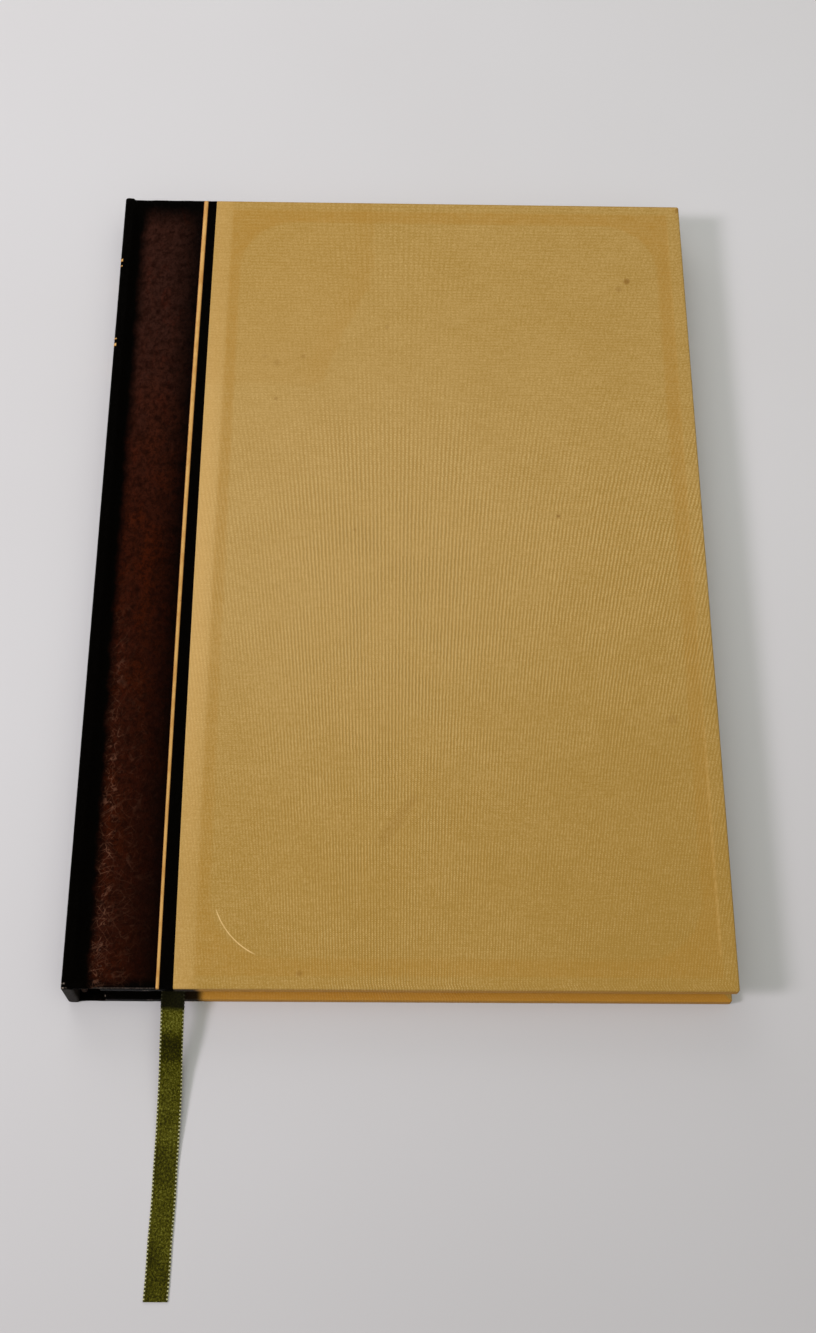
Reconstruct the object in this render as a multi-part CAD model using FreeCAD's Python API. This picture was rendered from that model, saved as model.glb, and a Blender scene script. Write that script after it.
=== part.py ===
import FreeCAD, Part
import math
import os

from FreeCAD import Vector

# A blank journal in a quarter binding: glued pages between two covered boards, an imitation
# leather spine, book cloth sides and a sewn-in ribbon marker.  Millimetres, +Z up.  The book lies
# closed on its back cover: spine at -X, fore edge at +X, tail at -Y, head at +Y, with the origin
# under the middle of the covers.  Everything on the front is mirrored to make the back.

# Pages
page_width = 155.0
page_height = 228.0
pages_thickness = 6.6
endpaper_thickness = 0.15

# Case
board_thickness = 2.0
strip_thickness = 2.0
covering_thickness = 0.4
square_at_head_and_tail = 3.0
square_at_fore_edge = 3.25
turn_in_width = 15.0
fold_radius_share = 0.98
leather_on_board = 16.9
joint_width = 7.0
groove_depth = 1.0

# Spine linings, ends and running gaps
mull_end_margin = 14.0
mull_over_shoulder = 4.0
mull_flange_thickness = 0.3
paper_liner_thickness = 0.25
paper_liner_end_margin = 1.0
hollow_gap = 0.1
strip_turn_in_margin = 1.4
band_skirt_height = 12.0
band_skirt_thickness = 0.3
band_bead_radius = 0.8

# Ribbon marker
ribbon_width = 5.8
ribbon_thickness = 0.3
ribbon_glued_height = 20.0
ribbon_head_inset = 5.0
ribbon_slot_side_gap = 0.2
ribbon_exit_x = -54.9

# Levels, worked out from the sizes above
cover_thickness = board_thickness + 2 * covering_thickness + endpaper_thickness
block_thickness = pages_thickness + 2 * endpaper_thickness
book_thickness = block_thickness + 2 * cover_thickness
block_top = book_thickness - cover_thickness
block_bottom = cover_thickness
board_bottom = block_top + endpaper_thickness + covering_thickness
board_top = board_bottom + board_thickness

# Widths, from the spine's outer face to the fore edge
mull_thickness = band_skirt_thickness + ribbon_thickness
spine_stack = covering_thickness + strip_thickness + covering_thickness + hollow_gap
block_from_spine = spine_stack + paper_liner_thickness + mull_thickness
cover_width = block_from_spine + page_width + square_at_fore_edge
left = -cover_width / 2
right = cover_width / 2
block_left = left + block_from_spine
block_right = block_left + page_width
strip_inside = left + covering_thickness + strip_thickness
board_left = strip_inside + joint_width
cloth_left = board_left + leather_on_board

# Heights along the spine
cover_half = page_height / 2 + square_at_head_and_tail
page_half = page_height / 2
board_half = cover_half - covering_thickness
turn_in_half = cover_half - turn_in_width
turned_in = [(-cover_half, -turn_in_half), (turn_in_half, cover_half)]

# The loose tail of the ribbon: straight out of the middle of the pages, down over the tail of the
# back cover and flat along the table to its cut end.  Each point is its x, how far it lies beyond
# the pages, and its height.
ribbon_exit_y = -page_half
ribbon_exit_z = book_thickness / 2
ribbon_tail_route = [
    (ribbon_exit_x, 0.0, ribbon_exit_z),
    (-54.95, 5.5, 6.25),
    (-54.85, 13.0, 5.2),
    (-54.80, 21.5, 3.1),
    (-54.90, 30.5, 1.25),
    (-55.15, 40.0, 0.35),
    (-55.20, 49.5, 0.22),
    (-55.45, 58.5, 0.26),
    (-55.55, 66.5, 0.20),
    (-55.80, 72.3, 0.24),
]

os.makedirs("parts", exist_ok=True)


def block(x, y, z):
    """A block between two x, two y and two z values."""
    size = (x[1] - x[0], y[1] - y[0], z[1] - z[0])
    return Part.makeBox(*size, Vector(x[0], y[0], z[0]))


def both_ways(half):
    """The y values of something centred between head and tail."""
    return (-half, half)


def mirrored_to_back(shape):
    """The back's copy of a front piece."""
    return shape.mirror(Vector(0, 0, book_thickness / 2), Vector(0, 0, 1))


def save(name, shape):
    """Write one piece, refusing anything that is not one sound solid."""
    if len(shape.Solids) != 1 or not shape.isValid():
        raise ValueError(name + " is not one sound solid")
    shape.Solids[0].exportStep("parts/" + name + ".step")


def save_front_and_back(name, shape):
    """Write a piece that both covers have."""
    save("front_" + name, shape)
    save("back_" + name, mirrored_to_back(shape))


def at(value, place):
    """Whether a coordinate is at a place."""
    return abs(value - place) < 0.01


def rounded_wrap(shape, is_outer_edge):
    """Round the edges that a covering is folded round, by nearly its own thickness."""
    edges = [edge for edge in shape.Edges if is_outer_edge(edge.BoundBox)]
    return shape.makeFillet(covering_thickness * fold_radius_share, edges)


# ---------------------------------------------------------------- pages and endpapers


def ribbon_in_pages(side_gap):
    """The flat stretch of ribbon between two pages, from the tail exit to the head."""
    half = ribbon_width / 2 + side_gap
    at_head = block_left + ribbon_head_inset
    corners = [
        Vector(ribbon_exit_x - half, -page_half, 0),
        Vector(ribbon_exit_x + half, -page_half, 0),
        Vector(at_head + half, page_half, 0),
        Vector(at_head - half, page_half, 0),
    ]
    flat = Part.Face(Part.makePolygon(corners + corners[:1]))
    flat.translate(Vector(0, 0, ribbon_exit_z - ribbon_thickness / 2))
    return flat.extrude(Vector(0, 0, ribbon_thickness))


def text_block():
    """All the leaves glued at the spine, parted where the ribbon lies."""
    pages_z = (block_bottom + endpaper_thickness, block_top - endpaper_thickness)
    pages = block((block_left, block_right), both_ways(page_half), pages_z)
    return pages.cut(ribbon_in_pages(ribbon_slot_side_gap))


def flyleaf():
    """The free leaf of the front endpaper."""
    z = (block_top - endpaper_thickness, block_top)
    return block((block_left, block_right), both_ways(page_half), z)


def endpaper_hinge():
    """The endpaper's fold strip, from the shoulder of the pages to the board."""
    z = (block_top, block_top + endpaper_thickness)
    return block((block_left, board_left), both_ways(page_half), z)


def pastedown():
    """The leaf of the endpaper that is pasted inside the board.

    It lies over the turn-ins round the edge and drops to the bare board inside them.
    """
    over_turn_ins = block((board_left, block_right), both_ways(page_half),
                          (block_top, block_top + endpaper_thickness))
    bare_x = (board_left, right - turn_in_width)
    bare_y = both_ways(turn_in_half)
    pressed_up = block(bare_x, bare_y, (block_top, board_bottom))
    well = block((bare_x[0], bare_x[1] - endpaper_thickness),
                 both_ways(turn_in_half - endpaper_thickness),
                 (block_top, board_bottom - endpaper_thickness))
    return over_turn_ins.fuse(pressed_up).cut(well).removeSplitter()


# ---------------------------------------------------------------- covers


def board():
    """One grey board."""
    return block((board_left, right - covering_thickness), both_ways(board_half),
                 (board_bottom, board_top))


def covered(x, open_x):
    """A covering of the front board between two x values, turned in at its edges."""
    outer = block(x, both_ways(cover_half),
                  (board_bottom - covering_thickness, board_top + covering_thickness))

    def wraps(box):
        at_end = at(abs(box.Center.y), cover_half)
        along_board = at(box.XLength, x[1] - x[0])
        return at(box.Center.x, right) or (at_end and along_board)

    outer = rounded_wrap(outer, wraps)
    window = block(open_x, both_ways(turn_in_half),
                   (board_bottom - covering_thickness, board_bottom))
    return outer.cut(board()).cut(window)


def cloth():
    """Book cloth over the fore part of the board, turned in on three sides."""
    return covered((cloth_left, right), (cloth_left, right - turn_in_width))


def cover_leather():
    """The spine's leather where it is glued over the board, turned in at head and tail."""
    return covered((board_left, cloth_left), (board_left, cloth_left))


def groove(x, drop):
    """A shallow arc from the spine strip's edge to the board's edge, as a 2-D curve."""
    middle = (x[0] + x[1]) / 2
    top = board_top + covering_thickness - drop
    return Part.Arc(Vector(x[0], 0, top), Vector(middle, 0, top - groove_depth),
                    Vector(x[1], 0, top)).toShape()


def groove_layer(top_drop, bottom_drop, y):
    """A layer of leather in the joint between two depths."""
    x = (strip_inside, board_left)
    upper = groove(x, top_drop)
    lower = groove(x, bottom_drop)
    ends = [Part.makeLine(upper.Vertexes[i].Point, lower.Vertexes[i].Point) for i in (0, 1)]
    section = Part.Face(Part.Wire(Part.__sortEdges__([upper, lower] + ends)))
    section.translate(Vector(0, y[0], 0))
    return section.extrude(Vector(0, y[1] - y[0], 0))


def joint_leather():
    """The leather between spine strip and board, doubled where it is turned in."""
    web = groove_layer(0, covering_thickness, both_ways(cover_half))
    for y in turned_in:
        web = web.fuse(groove_layer(covering_thickness, 2 * covering_thickness, y))
    return web.removeSplitter()


# ---------------------------------------------------------------- spine


def spine_strip():
    """The stiffener of the square spine, as wide as the whole book is thick."""
    return block((left + covering_thickness, strip_inside), both_ways(board_half),
                 (covering_thickness, book_thickness - covering_thickness))


def spine_leather():
    """The leather round the spine strip, turned in behind it at head and tail."""
    outer = block((left, strip_inside), both_ways(cover_half), (0, book_thickness))

    def wraps(box):
        at_end = at(abs(box.Center.y), cover_half)
        across_strip = at(box.XLength, strip_inside - left)
        return at(box.Center.x, left) or (at_end and across_strip)

    skin = rounded_wrap(outer, wraps).cut(spine_strip())
    behind_x = (strip_inside, strip_inside + covering_thickness)
    behind_z = (strip_turn_in_margin, book_thickness - strip_turn_in_margin)
    for y in turned_in:
        skin = skin.fuse(block(behind_x, y, behind_z))
    return skin.removeSplitter()


def mull():
    """The open cloth glued over the spine of the pages and on to both shoulders."""
    y = both_ways(page_half - mull_end_margin)
    flange_top = block_top + endpaper_thickness + mull_flange_thickness
    flange_bottom = block_bottom - endpaper_thickness - mull_flange_thickness
    wrap = block((block_left - mull_thickness, block_left + mull_over_shoulder), y,
                 (flange_bottom, flange_top))
    inside = block((block_left, block_left + mull_over_shoulder), y,
                   (block_bottom - endpaper_thickness, block_top + endpaper_thickness))
    ribbon_room = block((block_left - ribbon_thickness, block_left),
                        (page_half - ribbon_glued_height, page_half),
                        spine_ribbon_z(ribbon_slot_side_gap))
    return wrap.cut(inside).cut(ribbon_room)


def paper_liner():
    """The paper strip over the mull."""
    x = (block_left - mull_thickness - paper_liner_thickness, block_left - mull_thickness)
    return block(x, both_ways(page_half - paper_liner_end_margin), (block_bottom, block_top))


def end_band(rests_on):
    """A head or tail band: a rolled bead on the pages' end, with a skirt glued to the spine."""
    end = page_half + rests_on
    z = (block_bottom, block_top)
    skirt_x = (block_left - rests_on - band_skirt_thickness, block_left - rests_on)
    skirt = block(skirt_x, (page_half - band_skirt_height, end + band_bead_radius), z)
    centre = Vector(skirt_x[0] + band_bead_radius, end + band_bead_radius, z[0])
    bead = Part.makeCylinder(band_bead_radius, block_thickness, centre, Vector(0, 0, 1))
    return skirt.fuse(bead).removeSplitter()


# ---------------------------------------------------------------- ribbon marker


def spine_ribbon_z(side_gap):
    """The z values of the ribbon where it is glued up the spine."""
    half = ribbon_width / 2 + side_gap
    return (book_thickness / 2 - half, book_thickness / 2 + half)


def ribbon_inner():
    """The ribbon from its glued end on the spine, over the head and down between two pages."""
    z = spine_ribbon_z(0)
    glued = block((block_left - ribbon_thickness, block_left),
                  (page_half - ribbon_glued_height, page_half), z)
    fold_right = block_left + ribbon_head_inset + ribbon_width / 2
    over_head = block((block_left - ribbon_thickness, fold_right),
                      (page_half, page_half + ribbon_thickness), z)
    return glued.fuse(over_head).fuse(ribbon_in_pages(0)).removeSplitter()


def rounded_route(points):
    """Straight runs joined by tangent arcs, each as large as its two runs allow."""
    edges = []
    radii = []
    start = points[0]
    for before, corner, after in zip(points, points[1:], points[2:]):
        incoming = corner - before
        outgoing = after - corner
        half_turn = incoming.getAngle(outgoing) / 2
        reach = 0.45 * min(incoming.Length, outgoing.Length)
        radii.append(reach / math.tan(half_turn))
        arc_start = corner - incoming.normalize() * reach
        arc_end = corner + outgoing.normalize() * reach
        towards_centre = (outgoing - incoming).normalize()
        sag = radii[-1] * (1 / math.cos(half_turn) - 1)
        edges.append(Part.makeLine(start, arc_start))
        edges.append(Part.Arc(arc_start, corner + towards_centre * sag, arc_end).toShape())
        start = arc_end
    edges.append(Part.makeLine(start, points[-1]))
    return Part.Wire(edges), radii


def ribbon_tail():
    """The loose end of the ribbon, kept flat side up along its route."""
    points = [Vector(x, ribbon_exit_y - beyond, z) for x, beyond, z in ribbon_tail_route]
    route, radii = rounded_route(points)
    half_width = ribbon_width / 2
    half_thickness = ribbon_thickness / 2
    corners = [
        Vector(ribbon_exit_x + dx, ribbon_exit_y, ribbon_exit_z + dz)
        for dx, dz in (
            (-half_width, -half_thickness),
            (half_width, -half_thickness),
            (half_width, half_thickness),
            (-half_width, half_thickness),
        )
    ]
    sweep = Part.BRepOffsetAPI.MakePipeShell(route)
    sweep.setBiNormalMode(Vector(1, 0, 0))
    sweep.add(Part.makePolygon(corners + corners[:1]))
    sweep.build()
    sweep.makeSolid()
    tail = Part.Solid(sweep.shape())
    print("ribbon length", round(route.Length, 2), "radii", [round(r, 1) for r in radii])
    print("ribbon volume", round(tail.Volume, 2), "section times length",
          round(route.Length * ribbon_width * ribbon_thickness, 2), "lowest z",
          round(tail.BoundBox.ZMin, 3))
    return tail


save("text_block", text_block())
save_front_and_back("flyleaf", flyleaf())
save_front_and_back("endpaper_hinge", endpaper_hinge())
save_front_and_back("pastedown", pastedown())
save_front_and_back("board", board())
save_front_and_back("cloth", cloth())
save_front_and_back("leather", cover_leather())
save_front_and_back("joint_leather", joint_leather())
save("spine_strip", spine_strip())
save("spine_leather", spine_leather())
save("spine_mull", mull())
save("spine_paper_liner", paper_liner())
head_band = end_band(ribbon_thickness)
tail_band = end_band(0).mirror(Vector(0, 0, 0), Vector(0, 1, 0))
save("head_band", head_band)
save("tail_band", tail_band)
save("ribbon_inner", ribbon_inner())
save("ribbon_tail", ribbon_tail())
print("cover", round(cover_width, 2), "x", cover_half * 2, "x", round(book_thickness, 2))
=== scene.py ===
import math

import bmesh
import bpy
from mathutils import Matrix, Vector, noise


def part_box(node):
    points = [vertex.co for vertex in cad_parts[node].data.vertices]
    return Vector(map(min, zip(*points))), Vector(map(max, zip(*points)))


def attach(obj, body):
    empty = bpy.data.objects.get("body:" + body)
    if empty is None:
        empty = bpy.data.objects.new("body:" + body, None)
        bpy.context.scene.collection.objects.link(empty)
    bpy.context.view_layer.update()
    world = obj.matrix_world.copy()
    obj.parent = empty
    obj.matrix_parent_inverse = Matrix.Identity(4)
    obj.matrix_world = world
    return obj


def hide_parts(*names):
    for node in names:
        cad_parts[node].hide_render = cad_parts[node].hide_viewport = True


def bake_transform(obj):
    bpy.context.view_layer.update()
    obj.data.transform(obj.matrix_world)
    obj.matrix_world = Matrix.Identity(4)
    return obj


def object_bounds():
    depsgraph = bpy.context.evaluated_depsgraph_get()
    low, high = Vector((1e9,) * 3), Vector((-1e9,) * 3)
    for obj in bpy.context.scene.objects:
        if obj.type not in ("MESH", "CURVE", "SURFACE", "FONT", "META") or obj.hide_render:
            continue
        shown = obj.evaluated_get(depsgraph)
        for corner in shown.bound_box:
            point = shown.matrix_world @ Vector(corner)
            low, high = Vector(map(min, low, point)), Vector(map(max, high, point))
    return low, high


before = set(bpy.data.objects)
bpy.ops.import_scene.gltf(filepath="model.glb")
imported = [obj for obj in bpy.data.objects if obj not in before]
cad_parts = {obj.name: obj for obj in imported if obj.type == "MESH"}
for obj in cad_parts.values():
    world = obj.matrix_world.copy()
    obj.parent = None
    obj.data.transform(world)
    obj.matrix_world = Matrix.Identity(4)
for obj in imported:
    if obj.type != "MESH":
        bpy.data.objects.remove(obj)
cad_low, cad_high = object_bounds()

# A blank journal in a quarter binding, built up here as it is bound: the pages with their ribbon
# and spine linings, the endpapers, the boards, the leather of the spine, then the cloth sides.
# Lengths are in metres, with MM for millimetres, and the finishes reckon in millimetres.
# The spine is at -X, the fore edge at +X and the tail at -Y.
MM = 0.001


# ------------------------------------------------------------------------------------- pages
# The block of some seventy plain cream leaves, cut square on three sides and glued at the spine.
# The leaves part a little in the middle, where the ribbon marker lies between two of them.

pages_low, pages_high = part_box("text_block")
middle_of_book = (pages_low.z + pages_high.z) / 2
leaf_thickness = 0.1 * MM
uneven_cut = 0.09 * MM
page_steps = 40
ribbon_width = 5.8 * MM
ribbon_thickness = 0.3 * MM
ribbon_clearance = 0.02 * MM
ribbon_exit_x = -54.9 * MM
ribbon_head_x = pages_low.x + 5.0 * MM
parting_width = 4 * MM
page_cream = (236, 229, 210)
page_shade = (206, 194, 166)


def between(start, end, share):
    """The place a share of the way from start to end."""
    return start + (end - start) * share


def step_up(value, start, reach):
    """Nought before start, one past start and reach, softly between."""
    share = min(1.0, max(0.0, (value - start) / reach))
    return share * share * (3 - 2 * share)


def spaced(start, end, step, *also):
    """Even places from start to end, about a step apart, with some further places among them."""
    count = max(2, round(abs(end - start) / step))
    places = {round(between(start, end, i / count), 7) for i in range(count + 1)}
    return sorted(places | {round(place, 7) for place in also}, reverse=end < start)


def grid_faces(rows, columns, first=0):
    """The four-sided faces of a grid of points, row after row."""
    corners = [first + r * columns + c for r in range(rows - 1) for c in range(columns - 1)]
    return [[i, i + 1, i + 1 + columns, i + columns] for i in corners]


def grid_rim(rows, columns, first=0):
    """The points once round the outside of such a grid."""
    rim = list(range(columns))
    rim += [r * columns + columns - 1 for r in range(1, rows)]
    rim += [(rows - 1) * columns + c for c in range(columns - 2, -1, -1)]
    rim += [r * columns for r in range(rows - 2, 0, -1)]
    return [first + i for i in rim]


def ring_faces(ring, other):
    """The four-sided faces between two closed rings of as many points."""
    sides = zip(ring, ring[1:] + ring[:1], other[1:] + other[:1], other)
    return [list(side) for side in sides]


def made_piece(name, material, points, faces, flat, sharp=40):
    """A closed piece with its faces turned outward.

    flat gives each point's place on the material before it was folded.
    """
    mesh = bpy.data.meshes.new(name)
    mesh.from_pydata([tuple(point) for point in points], [], faces)
    laid_flat = mesh.uv_layers.new(name="flat").data
    for loop in mesh.loops:
        place = flat[loop.vertex_index % len(flat)]
        laid_flat[loop.index].uv = (place[0] / MM, place[1] / MM)
    work = bmesh.new()
    work.from_mesh(mesh)
    bmesh.ops.remove_doubles(work, verts=work.verts, dist=1e-7)
    bmesh.ops.recalc_face_normals(work, faces=work.faces)
    work.to_mesh(mesh)
    work.free()
    mesh.shade_smooth()
    mesh.set_sharp_from_angle(angle=math.radians(sharp))
    mesh.materials.append(material)
    piece = bpy.data.objects.new(name, mesh)
    bpy.context.scene.collection.objects.link(piece)
    return piece


def sheet_piece(name, material, outside, inside, faces, flat, sharp=40):
    """A sheet of some thickness: its two sides, closed all round by its cut edge."""
    count = len(outside)
    sides = [(a, b) for face in faces for a, b in zip(face, face[1:] + face[:1])]
    uses = {}
    for a, b in sides:
        uses[frozenset((a, b))] = uses.get(frozenset((a, b)), 0) + 1
    edge = [[b, a, a + count, b + count] for a, b in sides if uses[frozenset((a, b))] == 1]
    back = [[i + count for i in reversed(face)] for face in faces]
    return made_piece(name, material, outside + inside, faces + back + edge, flat, sharp)


def linear(colour):
    """A colour of 0 to 255 as the shader takes it."""
    def channel(value):
        value /= 255
        return value / 12.92 if value <= 0.04045 else ((value + 0.055) / 1.055) ** 2.4
    return tuple(channel(value) for value in colour) + (1.0,)


class Result:
    """What one step of a finish gives: a place, or a number that reckons as plain ones do."""

    def __init__(self, steps, socket):
        self.steps = steps
        self.socket = socket

    def sum(self, operation, *others):
        """A piece of arithmetic that starts with this number."""
        return self.steps.step("Math", dict(enumerate((self, *others))), operation=operation)

    def __add__(self, other):
        return self.sum("ADD", other)

    def __sub__(self, other):
        return self.sum("SUBTRACT", other)

    def __mul__(self, other):
        return self.sum("MULTIPLY", other)

    def __abs__(self):
        return self.sum("ABSOLUTE")

    def wave(self, length):
        """A wave from -1 to 1 along this measure, repeated at every length."""
        return (self * (2 * math.pi / length)).sum("SINE")

    def rise(self, start, end, low=0.0, high=1.0):
        """From low to high, softly, as this goes from start to end."""
        inputs = {"Value": self, "From Min": start, "From Max": end, "To Min": low,
                  "To Max": high}
        return self.steps.step("MapRange", inputs, interpolation_type="SMOOTHSTEP")

    def fall(self, start, end, high=1.0):
        """From high to nought, softly, as this goes from start to end."""
        return self.rise(start, end, high, 0.0)

    def band(self, start, end, soft):
        """One between start and end, and nought outside, softly at both."""
        return self.rise(start - soft, start + soft) * self.fall(end - soft, end + soft)

    def axis(self, name):
        """One axis of this place."""
        return self.steps.step("SeparateXYZ", {"Vector": self}, output="XYZ".index(name))

    def stretched(self, scale):
        """This place scaled along its axes."""
        return self.steps.step("VectorMath", {0: self, 1: scale}, operation="MULTIPLY")

    def distance(self, x, y):
        """How far this place is from a point of the flat material."""
        return self.steps.step("VectorMath", {0: self, 1: (x, y, 0)}, output=1,
                               operation="DISTANCE")

    def mottle(self, scale, stretch=(1, 1, 1), detail=3.0, roughness=0.55, warp=0.0):
        """Soft natural variation from 0 to 1, about 0.5; scale is in blotches a millimetre."""
        inputs = {"Vector": self.stretched(stretch), "Scale": scale, "Detail": detail,
                  "Roughness": roughness, "Distortion": warp}
        return self.steps.step("TexNoise", inputs)

    def relief(self, depth, below=None):
        """This as a relief of a depth in millimetres, over another relief."""
        inputs = {"Height": self, "Distance": depth * MM, "Strength": 1.0}
        if below is not None:
            inputs["Normal"] = below
        return self.steps.step("Bump", inputs)


class Steps:
    """The steps that lead up to a surface or a light, added one by one."""

    def __init__(self, tree):
        self.tree = tree

    def step(self, kind, inputs, output=0, **settings):
        """One node with its settings and inputs, each a value or another step's result."""
        node = self.tree.nodes.new("ShaderNode" + kind)
        for name, value in settings.items():
            setattr(node, name, value)
        for name, value in inputs.items():
            if isinstance(value, Result):
                self.tree.links.new(value.socket, node.inputs[name])
            else:
                node.inputs[name].default_value = value
        return Result(self, node.outputs[output])


class Finish(Steps):
    """The finish of a material."""

    def __init__(self, name, roughness, specular, **shader_values):
        self.material = bpy.data.materials.new(name)
        self.material.use_nodes = True
        super().__init__(self.material.node_tree)
        self.shader = self.tree.nodes["Principled BSDF"]
        values = {"Roughness": roughness, "Specular IOR Level": specular, **shader_values}
        for socket, value in values.items():
            self.shader.inputs[socket].default_value = value

    def on_flat(self):
        """The place on the material as laid flat, in millimetres."""
        return self.step("UVMap", {}, uv_map="flat")

    def in_solid(self):
        """The place in the solid piece, in millimetres."""
        return self.step("TexCoord", {}, output=3).stretched((1000, 1000, 1000))

    def coats(self, colour, *coats):
        """A colour with others laid over it in turn, each by its share."""
        for share, above in coats:
            inputs = {0: share, 6: colour, 7: above}
            inputs = {name: linear(value) if isinstance(value, tuple) else value
                      for name, value in inputs.items()}
            colour = self.step("Mix", inputs, output=2, data_type="RGBA")
        return colour

    def done(self, colour, relief=None, roughness=None):
        """Put the results on the shader, and give the material."""
        links = ((colour, "Base Color"), (relief, "Normal"), (roughness, "Roughness"))
        for result, socket in links:
            if result is not None:
                self.tree.links.new(result.socket, self.shader.inputs[socket])
        return self.material


def page_edge_finish():
    """Cream paper, seen edge on as fine uneven lines."""
    finish = Finish("page_paper", 0.85, 0.2)
    place = finish.in_solid()
    leaves = place.mottle(1.0, (0.04, 0.04, 9.0), detail=4, roughness=0.7)
    gatherings = place.mottle(1.0, (0.01, 0.01, 1.3), detail=1)
    shade = leaves.rise(0.38, 0.62, 0.0, 0.6) + gatherings.rise(0.4, 0.7, 0.0, 0.4)
    colour = finish.coats(page_cream, (shade, page_shade))
    return finish.done(colour, place.mottle(2.5).relief(0.02, leaves.relief(0.05)))


def parted_by_ribbon(point):
    """A leaf's point, lifted clear of the ribbon where the leaves part round it."""
    along = (point.y - pages_low.y) / (pages_high.y - pages_low.y)
    aside = abs(point.x - between(ribbon_exit_x, ribbon_head_x, along))
    parted = step_up(-aside, -(ribbon_width / 2 + parting_width), parting_width)
    from_middle = point.z - middle_of_book
    reach = max(0.0, 1 - abs(from_middle) / (pages_high.z - middle_of_book))
    lift = (ribbon_thickness / 2 + ribbon_clearance) * parted * reach
    return point + Vector((0, 0, math.copysign(lift, from_middle)))


def half_of_pages(name, near, far):
    """The leaves from the middle of the book outward, each cut a hair longer or shorter."""
    beside = [ribbon_exit_x + offset * MM for offset in (-6, -4, -3, -2.5, 0, 2.5, 3, 4, 6)]
    tail_x = sorted(spaced(pages_low.x, pages_high.x, 6 * MM) + beside)
    over = ribbon_head_x - ribbon_exit_x
    head_x = [x + over * max(0, 1 - abs(x - ribbon_exit_x) / (140 * MM)) for x in tail_x]
    head_x[0] = tail_x[0]
    head_x = [max(pages_low.x + i * 0.05 * MM, x) for i, x in enumerate(head_x)]
    head_x[-1] = tail_x[-1]
    columns, rows = len(tail_x), page_steps + 1

    def leaf_points(z, leaf):
        """One side of a leaf, its three free edges cut back a little unevenly."""
        points = []
        for r in range(rows):
            for c in range(columns):
                x = between(tail_x[c], head_x[c], r / page_steps)
                y = between(pages_low.y, pages_high.y, r / page_steps)
                seed = Vector((x * 25, y * 25, leaf * 3.7))
                back = 0.5 + 0.5 * noise.noise(seed * 1.7) + 0.35 * (leaf * 7 % 3) / 3
                back = uneven_cut * max(0.0, min(back, 1.4))
                if r == 0:
                    y += back
                elif r == rows - 1:
                    y -= back
                if c == columns - 1:
                    x -= back
                points.append(parted_by_ribbon(Vector((x, y, z))))
        return points

    count = round(abs(far - near) / leaf_thickness)
    rim = grid_rim(rows, columns)
    points = leaf_points(near, 0)
    faces = grid_faces(rows, columns)
    last = rim
    sides = [(leaf, level) for leaf in range(count) for level in (leaf, leaf + 1)]
    for leaf, level in sides[1:]:
        whole = leaf_points(near + math.copysign(level * leaf_thickness, far - near), leaf)
        first = len(points)
        if level == count:
            points += whole
            new = [first + i for i in rim]
            faces += grid_faces(rows, columns, first)
        else:
            points += [whole[i] for i in rim]
            new = list(range(first, len(points)))
        faces += ring_faces(last, new)
        last = new
    flat = [(point.x, point.y) for point in points]
    return made_piece(name, page_paper, points, faces, flat, sharp=20)


page_paper = page_edge_finish()
for name, outer_leaf in (("pages_near_back", pages_low.z), ("pages_near_front", pages_high.z)):
    half = half_of_pages(name, middle_of_book, outer_leaf)
    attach(half, "block")
    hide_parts("text_block")


# ---------------------------------------------------------------------------- ribbon marker
# A woven olive satin ribbon, glued up the back of the pages and laid between two of them.
# Its loose tail leaves the pages at the tail, drops over the back cover and ends in a plain cut.

ribbon_low, ribbon_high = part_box("ribbon_inner")
ribbon_route = [
    (-54.90, -114.0, 6.40),
    (-54.95, -119.5, 6.25),
    (-54.85, -127.0, 5.20),
    (-54.80, -135.5, 3.10),
    (-54.90, -144.5, 1.25),
    (-55.15, -154.0, 0.35),
    (-55.20, -163.5, 0.22),
    (-55.45, -172.5, 0.26),
    (-55.55, -180.5, 0.20),
    (-55.80, -186.3, 0.24),
]
ribbon_twist = math.radians(19)
glued_length = 20 * MM
fold_radius = 0.5 * MM
selvedge_loop = 0.9 * MM
selvedge_depth = 0.05 * MM
# Across the ribbon: the place as a share of its half width, and the thickness there.
ribbon_section = ((-1.0, 0.35), (-0.94, 0.9), (-0.85, 1.0), (-0.6, 0.84), (-0.3, 0.8), (0.0, 0.8),
                  (0.3, 0.8), (0.6, 0.84), (0.85, 1.0), (0.94, 0.9), (1.0, 0.35))
rib_pitch, pick_pitch = 0.16, 0.22
ribbon_olive = (70, 67, 6)
ribbon_shadow = (30, 28, 1)
ribbon_glint = (124, 122, 46)
ribbon_painted_shadow = (9, 8, 2)
selvedge_olive = (58, 56, 12)
selvedge_dot = (196, 192, 146)


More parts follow.
